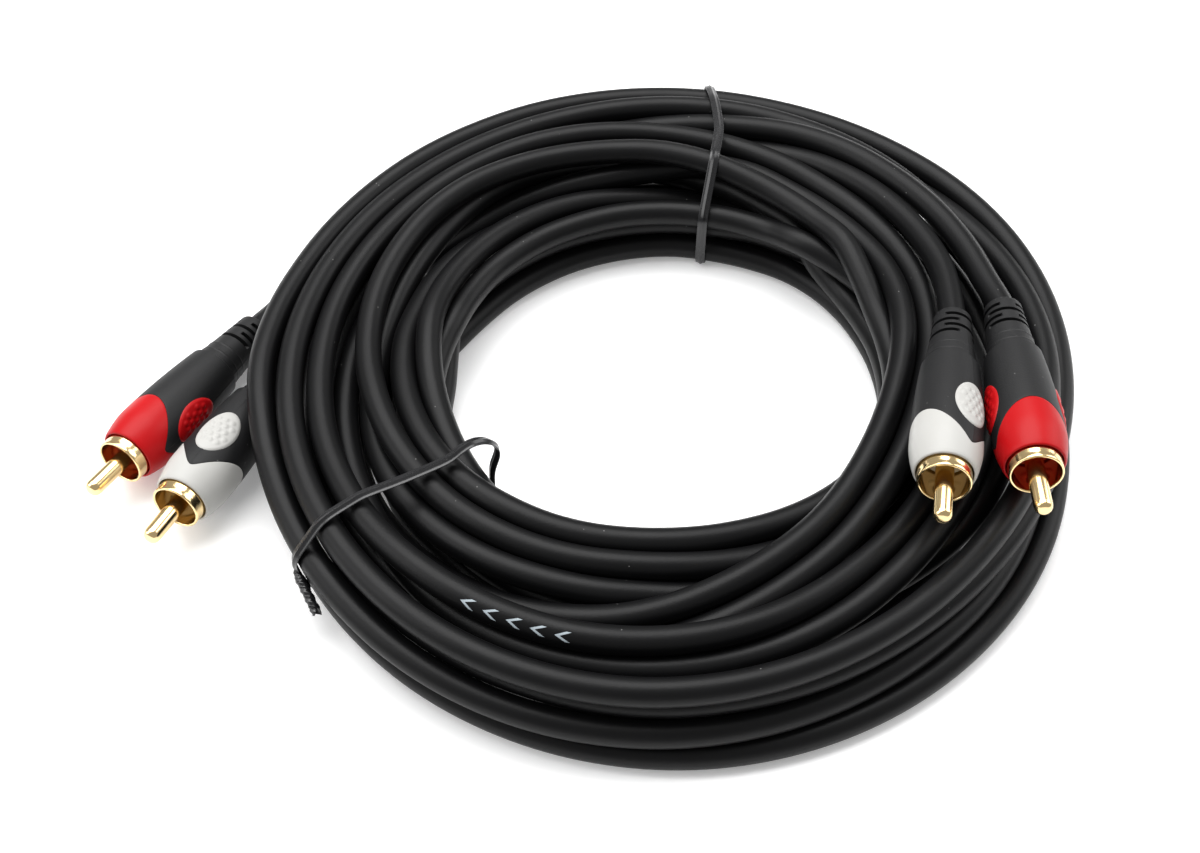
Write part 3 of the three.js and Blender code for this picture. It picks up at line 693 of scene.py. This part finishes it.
def insulator_profile():
    """The insulator: a disc in the ring with a raised rim round the pin, and a sleeve in the stem."""
    return [(1.9, 5.7), (2.5, 5.7), (2.6, 5.8), (2.65, 6.0), (3.75, 6.0), (3.85, 6.1), (3.85, 7.5),
            (2.9, 7.5), (2.9, 12.7), (1.9, 12.7)]


def sleeve_grid(plug, angles):
    """The coloured moulding in the round: its front lip, its skin back to the split line, the core under the
    grip and the bore."""
    split = split_station(angles)
    lip = rounded_corner(SLEEVE_FRONT_R - 0.3, RING_STAND + 0.3, 0.3, -90, -8)
    level = np.full_like(angles, 1.0)
    rows = [(level * SLEEVE_BORE_R, level * RING_STAND)]
    rows += [(level * r, level * s) for r, s in lip]
    for share in np.linspace(0, 1, 30)[1:]:
        s = RING_STAND + 0.35 + (split - EDGE - RING_STAND - 0.35) * share
        rows.append((skin_radius(s), s))
    for turn in np.radians([30, 60, 90]):
        s = split - EDGE + EDGE * math.sin(turn)
        rows.append((skin_radius(s) - EDGE * (1 - math.cos(turn)), s))
    rows += [(level * CORE_R, split), (level * CORE_R, level * CORE_LENGTH),
             (level * CORE_BORE_R, level * CORE_LENGTH), (level * CORE_BORE_R, level * CUP_STEP),
             (level * SLEEVE_BORE_R, level * CUP_STEP)]
    return in_the_round(plug, rows, angles)


def dots(across, along):
    """Small domes on a pad: the height of a bell curve about each point of a staggered grid inside the pad's
    edge."""
    height = np.zeros_like(across)
    for row in range(-3, 4):
        for column in range(-2, 3):
            s = row * DOT_PITCH * 0.95
            x = (column + 0.5 * (row % 2)) * DOT_PITCH
            if (x / (PAD_WIDTH / 2)) ** 2 + (s / (PAD_LENGTH / 2)) ** 2 < 0.62:
                height += np.exp(-(((across - x) ** 2 + (along - s) ** 2) / (2 * DOT_SIZE ** 2)) ** 2)
    return height * DOT_HEIGHT


def pad_grid(plug, facing):
    """A thumb pad: an oval whose top stands proud of the skin and rounds over at its edge, with dots, and
    whose foot goes straight down into the grip."""
    rim = 1 - 0.1 * np.cos(np.linspace(0.2, 1, 10) * math.pi / 2)
    share = np.concatenate([np.linspace(0.02, 0.9, 34), rim])
    turn = np.arange(120) / 120 * 2 * math.pi
    share, turn = np.meshgrid(share, turn, indexing="ij")
    across = share * PAD_WIDTH / 2 * np.sin(turn)
    along = share * PAD_LENGTH / 2 * np.cos(turn)
    fall = np.sqrt(np.clip(1 - ((share - 0.86) / 0.14).clip(0, 1) ** 2, 0, 1))
    proud = (PAD_PROUD + 0.18) * fall - 0.18 + dots(across, along)
    station = PAD_AT + along
    out = np.sqrt((skin_radius(station) + proud) ** 2 - across ** 2)
    top = in_plug(plug, facing * across, station, facing * out)
    base = np.full_like(across[-1:], PAD_BASE_R)
    foot = in_plug(plug, facing * across[-1:], station[-1:], facing * base)
    return np.concatenate([top, foot])


def slot_depth(station, angle):
    """One where the strain relief is cut through and nought elsewhere: four slotted rows, each with two
    bridges, the bridges a quarter turn on from row to row."""
    cut = np.zeros(np.broadcast(station, angle).shape)
    for row in range(SLOT_COUNT):
        middle = SLOT_FIRST + row * SLOT_PITCH
        inside = np.abs(station - middle) < SLOT_WIDTH / 2 - 0.01
        turn = angle + (math.pi / 2 if row % 2 else 0.0)
        from_bridge = np.abs((turn + math.pi / 2) % math.pi - math.pi / 2)
        open_share = np.clip((from_bridge - BRIDGE_ANGLE) / math.radians(5), 0, 1)
        cut = np.maximum(cut, inside * np.sqrt(open_share))
    return cut


def grip_stations():
    """Stations of the grip's rows behind the split line: even along the body, close at the ribs, and a pair
    at each wall of each slot."""
    steps = (-0.15, 0, 0.12, 0.35, SHOULDER_LENGTH, SHOULDER_LENGTH + 0.25)
    neck = [SHOULDER_AT + step for step in steps]
    for rib in RIB_STATIONS:
        neck += list(rib + np.linspace(-0.45, 0.45, 13))
    neck += [33.0, RELIEF_AT - 0.1, RELIEF_AT + 0.1, 34.4]
    relief = []
    for row in range(SLOT_COUNT):
        middle = SLOT_FIRST + row * SLOT_PITCH
        walls = SLOT_WIDTH / 2 + np.array([-0.03, 0.02, 0.12])
        relief += [*(middle - walls[::-1]), middle, *(middle + walls)]
    relief += [41.0, PLUG_LENGTH - 0.35]
    return np.array(neck + relief)


def grip_grid(plug, angles):
    """The black moulding in the round: its skin from the split line to the shoulder, the ribbed neck, the
    slotted relief, and the bore that the cord and the core fill. A fine raised seam runs along each pad's
    middle line."""
    split = split_station(angles)
    across = np.abs(np.sin(angles)) * WIDEST_R
    seam = SEAM_HEIGHT * np.exp(-(across / SEAM_WIDTH) ** 2)
    rows = []
    for turn in np.radians([90, 60, 30]):
        s = split + EDGE - EDGE * math.sin(turn)
        rows.append((skin_radius(s) - EDGE * (1 - math.cos(turn)), s))
    front = split + EDGE
    for share in np.linspace(0, 1, 44):
        s = front + (SHOULDER_AT - 0.3 - front) * share
        rows.append((skin_radius(s) + seam, s))
    for s in grip_stations():
        ribs = sum(RIB_HEIGHT * math.exp(-((s - rib) / RIB_WIDTH) ** 2) for rib in RIB_STATIONS)
        skin = skin_radius(np.full_like(angles, s)) + ribs + seam * (s < RELIEF_AT)
        cut = slot_depth(s, angles)
        rows.append((skin + (SLOT_FLOOR_R - skin) * cut, np.full_like(angles, s)))
    level = np.full_like(angles, 1.0)
    end = rounded_corner(RELIEF_END_R - 0.28, PLUG_LENGTH - 0.28, 0.28, 10, 90)
    rows += [(level * r, level * s) for r, s in end]
    rear = CORE_LENGTH + 0.3
    bore = [(CORD_BORE_R, PLUG_LENGTH), (CORD_BORE_R, CHAMBER_END + 2), (CORE_BORE_R, CHAMBER_END),
            (CORE_BORE_R, rear), (CORE_R + 0.1, rear)]
    rows += [(level * r, level * s) for r, s in bore]
    rows.append((level * (CORE_R + 0.1), split + EDGE / 2))
    return in_the_round(plug, rows, angles)


def moulding_angles(sides):
    """Angles round a moulding: even, with more near the two seams."""
    even = np.arange(sides) / sides * 2 * math.pi
    near = np.radians([-2.6, -1.6, -0.9, -0.4, 0.4, 0.9, 1.6, 2.6])
    return np.unique(np.concatenate([even, near % (2 * math.pi), near + math.pi]))


class PHONO_OT_contacts(bpy.types.Operator):
    """Turn the pins, ground shells and insulators of the four plugs"""
    bl_idname = "phono.contacts"
    bl_label = "Pins, rings and insulators"

    def execute(self, context):
        plugs = context.scene.phono_plug
        gold = gold_plate("gold_plate", tuple(plugs.gold))
        natural = soft_plastic("natural_insulator", (0.70, 0.66, 0.56), 0.40, 0.5, 0.00001, 0.05, 0.0)
        red = soft_plastic("red_insulator", (0.42, 0.010, 0.010), 0.38, 0.5, 0.00001, 0.05, 0.0)
        for name, plug in PLUGS.items():
            pin = shell(turned(plug, pin_profile(), 48))
            ring = shell(turned(plug, ring_profile(), plugs.sides), closed=True)
            disc = shell(turned(plug, insulator_profile(), 64), closed=True)
            inner, slot = (red, "red") if plug["finish"] == "red" else (natural, "natural")
            piece(f"{name}_pin", [pin], gold, [f"{name}_centre_pin"])
            piece(f"{name}_ring", [ring], gold, [f"{name}_ground_shell"])
            piece(f"{name}_inner_disc", [disc], inner, [f"{name}_insulator"])
        return {"FINISHED"}


class PHONO_OT_mouldings(bpy.types.Operator):
    """Mould the coloured sleeves, thumb pads and black grips of the four plugs"""
    bl_idname = "phono.mouldings"
    bl_label = "Sleeves, pads and grips"

    def execute(self, context):
        plugs = context.scene.phono_plug
        finishes = {
            "red": soft_plastic("red_moulding", tuple(plugs.red), 0.40, 0.22, 0.00002, 0.06, 0.0),
            "white": soft_plastic("white_moulding", tuple(plugs.white), 0.40, 0.30, 0.00002, 0.03, 0.0),
        }
        black = soft_plastic("grip_black", tuple(plugs.grip), 0.55, 0.42, 0.00004)
        angles = moulding_angles(plugs.sides)
        for name, plug in PLUGS.items():
            bodies = [shell(sleeve_grid(plug, angles), closed=True), shell(pad_grid(plug, 1)),
                      shell(pad_grid(plug, -1))]
            finish = plug["finish"]
            piece(f"{name}_sleeve", bodies, finishes[finish], [f"{name}_sleeve_and_pads"])
            piece(f"{name}_grip", [shell(grip_grid(plug, angles), closed=True)], black,
                  [f"{name}_grip_and_relief"])
        return {"FINISHED"}


class PHONO_OT_wires(bpy.types.Operator):
    """Finish the wires that the plugs hold inside"""
    bl_idname = "phono.wires"
    bl_label = "Inner wires"

    def execute(self, context):
        copper = bare_metal("bare_copper", (0.60, 0.26, 0.12))
        natural = soft_plastic("natural_dielectric", (0.70, 0.68, 0.60), 0.45, 0.5, 0.00001, 0.05, 0.0)
        for name in PLUGS:
            for part, finish in (("conductor", copper), ("shield_wire", copper), ("dielectric", natural)):
                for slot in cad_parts[f"{name}_{part}"].material_slots:
                    slot.material = finish
        return {"FINISHED"}


def turns_at(heading):
    """Where the two jackets pass a compass place: their distances out and heights there, in one array."""
    found = []
    for start, radii, heights in WINDINGS.values():
        compass = start - WIND_STEP * np.arange(len(radii))
        places = np.arange(-9, 2) * 360.0 + heading
        places = places[(places >= compass.min()) & (places <= compass.max())]
        r = np.interp(-places, -compass, np.array(radii) / 10)
        z = np.interp(-places, -compass, np.array(heights) / 10)
        found.append(np.stack([r, z], -1))
    return np.vstack(found)


def tie_loop(tie, clearance, count=400):
    """A closed line drawn tight round the jackets at a compass place. For each way round it takes the jacket
    that reaches furthest that way, and steps off its centre by its radius and a clearance. A bell curve of
    slack is added towards the inner top edge. The line is then smoothed a little, and far more where it hangs
    free. Columns: out from the coil's centre, and up."""
    discs = turns_at(tie["heading"])
    way = np.arange(count) / count * 2 * math.pi
    ways = np.stack([np.cos(way), np.sin(way)], -1)
    furthest = np.argmax(ways @ discs.T, axis=1)
    line = discs[furthest] + ways * (CORD_R + clearance)
    slack = tie["slack"] * np.exp(-(((way - SLACK_WAY) / SLACK_WIDTH) ** 2))
    line = np.hstack([line + ways * slack[:, None], slack[:, None] / max(tie["slack"], 1.0)])
    line = evenly(np.vstack([line, line[:1]]), 0.5)[:-1]
    line, free = line[:, :2], line[:, 2:]
    for turn in range(60):
        share = 0.25 if turn < 6 else 0.25 * free
        line = line + share * (np.roll(line, 1, 0) + np.roll(line, -1, 0) - 2 * line)
    line[:, 1] = np.maximum(line[:, 1], clearance)
    return line


def ribbon_section(width, wire, count=28):
    """A flat ribbon with a wire in its middle: an oval band whose height is raised by a bell curve at the
    middle."""
    a = np.arange(count) / count * 2 * math.pi
    x = width / 2 * np.cos(a)
    rib = (wire - RIBBON_FILM) * np.exp(-(x / RIBBON_WIRE_WIDTH) ** 2)
    return x, (RIBBON_FILM + rib) / 2 * np.sign(np.sin(a)) * np.abs(np.sin(a)) ** 0.6


def swept(line, normals, section):
    """A section carried along a line: its first number goes across, square to the line and the normal, and
    its second along the normal."""
    along = unit(np.gradient(line, axis=0))
    across = unit(np.cross(along, normals))
    normals = np.cross(across, along)
    x, y = section
    return line[:, None] + x[None, :, None] * across[:, None] + y[None, :, None] * normals[:, None]


def standing(tie, out, up, beside):
    """Points from a tie's own upright plane: out from the coil's centre, up, and beside the plane
    clockwise."""
    a = math.radians(tie["heading"])
    outwards, clockwise = np.array([math.cos(a), math.sin(a), 0]), np.array([math.sin(a), -math.cos(a), 0])
    return out[..., None] * outwards + up[..., None] * np.array([0, 0, 1.0]) + beside[..., None] * clockwise


def twisted_end(tie, root, width, wire, phase):
    """One of the two ribbon ends twisted together: it winds round an axis that leaves the loop, at a radius
    that grows to the wire's thickness, and its flat side turns with it."""
    t = np.linspace(0, 1, 90)
    lean = math.radians(tie["twist_lean"])
    axis_up, axis_beside = math.cos(lean), math.sin(lean)
    a = phase + t * TWIST_TURNS * 2 * math.pi
    radius = wire * 0.62 * (0.35 + 0.65 * np.minimum(1, t * 5))
    walked = TWIST_LENGTH * t
    ring_out, ring_other = np.cos(a) * radius, np.sin(a) * radius
    out = root[0] + 0.3 + ring_out + 0.05 * walked
    up = root[1] + axis_up * walked - TWIST_DROOP * t ** 2 - ring_other * axis_beside
    beside = root[2] + axis_beside * walked + ring_other * axis_up
    line = standing(tie, out, up, beside)
    normal = standing(tie, np.cos(a), -np.sin(a) * axis_beside, np.sin(a) * axis_up)
    return swept(line, normal, ribbon_section(width * 0.72, wire * 0.9))


class PHONO_OT_ties(bpy.types.Operator):
    """Wrap the two twist ties round the bundle and twist their ends"""
    bl_idname = "phono.ties"
    bl_label = "Twist ties"

    def execute(self, context):
        settings = context.scene.phono_tie
        width, wire = settings.width / MM, settings.wire / MM
        coat = soft_plastic("tie_coat", tuple(settings.coat), 0.28, 0.70, 0.00001, 0.10, 0.2)
        for name, tie in TIES.items():
            loop = tie_loop(tie, wire / 2 + TIE_CLEARANCE)
            way = unit(np.roll(loop, -1, 0) - np.roll(loop, 1, 0))
            outwards = np.stack([way[:, 1], -way[:, 0]], -1)
            outwards *= np.sign(((loop - loop.mean(0)) * outwards).sum())
            x, y = ribbon_section(width, wire)
            flat = loop[:, None] + y[None, :, None] * outwards[:, None]
            out = loop[:, 0]
            stray = np.interp(out, np.linspace(out.min(), out.max(), len(tie["stray"])), tie["stray"])
            for _ in range(40):
                stray = 0.5 * stray + 0.25 * (np.roll(stray, 1) + np.roll(stray, -1))
            beside = stray[:, None] + np.broadcast_to(x, flat.shape[:2])
            grid = standing(tie, flat[..., 0], flat[..., 1], beside)
            # The ends leave the outer side, at the point nearest their height.
            outer = np.flatnonzero(out >= out.mean())
            start = outer[np.argmin(np.abs(loop[outer, 1] - tie["twist_height"]))]
            root = np.array([*loop[start], stray[start]])
            bodies = [shell(grid, closed=True)]
            bodies += [shell(twisted_end(tie, root, width, wire, phase)) for phase in (0.0, math.pi)]
            piece(f"{name}_ribbon", bodies, coat, [name], crease=50)
        return {"FINISHED"}


class PHONO_OT_stage(bpy.types.Operator):
    """Set the camera, the pale floor and the soft lights"""
    bl_idname = "phono.stage"
    bl_label = "Camera, floor and lights"

    def execute(self, context):
        stage = context.scene.phono_stage
        scene = context.scene
        camera = bpy.data.cameras.new("camera")
        camera.lens = stage.lens
        camera.sensor_width = 36.0
        camera.clip_start = 0.01
        eye = bpy.data.objects.new("camera", camera)
        away = Vector((0.0, -math.cos(stage.elevation), math.sin(stage.elevation)))
        eye.location = Vector(LOOK_AT) + away * stage.distance
        eye.rotation_euler = (math.pi / 2 - stage.elevation, 0.0, 0.0)
        scene.collection.objects.link(eye)
        scene.camera = eye

        shader = Shader("pale_floor", Specular_IOR_Level=0.3, Emission_Strength=FLOOR_GLOW)
        cloud = shader.noise(6.0, 2.0, 0.5)
        tint = shader.colour(cloud, shade(tuple(stage.floor), 0.995), tuple(stage.floor))
        material = shader.set(Base_Color=tint, Roughness=cloud * 0.05 + 0.7)
        mesh = bpy.data.meshes.new("floor")
        corners = [(x * FLOOR_HALF, y * FLOOR_HALF, 0) for x, y in ((-1, -1), (1, -1), (1, 1), (-1, 1))]
        mesh.from_pydata(corners, [], [(0, 1, 2, 3)])
        floor = bpy.data.objects.new("floor", mesh)
        mesh.materials.append(material)
        scene.collection.objects.link(floor)

        world = bpy.data.worlds.new("white_room")
        world.use_nodes = True
        background = world.node_tree.nodes["Background"].inputs
        background["Color"].default_value = (1.0, 1.0, 1.0, 1.0)
        background["Strength"].default_value = WORLD_STRENGTH
        scene.world = world
        for name, place, size, power in LAMPS:
            lamp = bpy.data.lights.new(name, "AREA")
            lamp.shape = "RECTANGLE"
            lamp.size, lamp.size_y = size
            lamp.energy = power
            made = bpy.data.objects.new(name, lamp)
            made.location = place
            made.rotation_euler = (-Vector(place)).to_track_quat("-Z", "Y").to_euler()
            scene.collection.objects.link(made)
        scene.view_settings.view_transform = "Standard"
        return {"FINISHED"}


class PHONO_PT_panel(bpy.types.Panel):
    bl_idname = "PHONO_PT_panel"
    bl_label = "Phono cable"
    bl_space_type = "VIEW_3D"
    bl_region_type = "UI"
    bl_category = "Phono cable"

    def draw(self, context):
        column = self.layout.column(align=True)
        for operator in OPERATORS:
            column.operator(operator.bl_idname)
        for group in GROUPS:
            box = self.layout.box()
            settings = getattr(context.scene, group)
            for name in settings.__annotations__:
                box.prop(settings, name)


OPERATORS = (PHONO_OT_stage, PHONO_OT_cords, PHONO_OT_contacts, PHONO_OT_mouldings, PHONO_OT_wires,
             PHONO_OT_ties)
GROUPS = {"phono_cord": CordSettings, "phono_plug": PlugSettings, "phono_tie": TieSettings,
          "phono_stage": StageSettings}


def register():
    for settings in GROUPS.values():
        bpy.utils.register_class(settings)
    for name, settings in GROUPS.items():
        setattr(bpy.types.Scene, name, bpy.props.PointerProperty(type=settings))
    for operator in OPERATORS:
        bpy.utils.register_class(operator)
    bpy.utils.register_class(PHONO_PT_panel)


def unregister():
    bpy.utils.unregister_class(PHONO_PT_panel)
    for operator in reversed(OPERATORS):
        bpy.utils.unregister_class(operator)
    for name in GROUPS:
        delattr(bpy.types.Scene, name)
    for settings in reversed(list(GROUPS.values())):
        bpy.utils.unregister_class(settings)


def main():
    register()
    for operator in OPERATORS:
        family, action = operator.bl_idname.split(".")
        getattr(getattr(bpy.ops, family), action)()


if __name__ == "__main__":
    main()
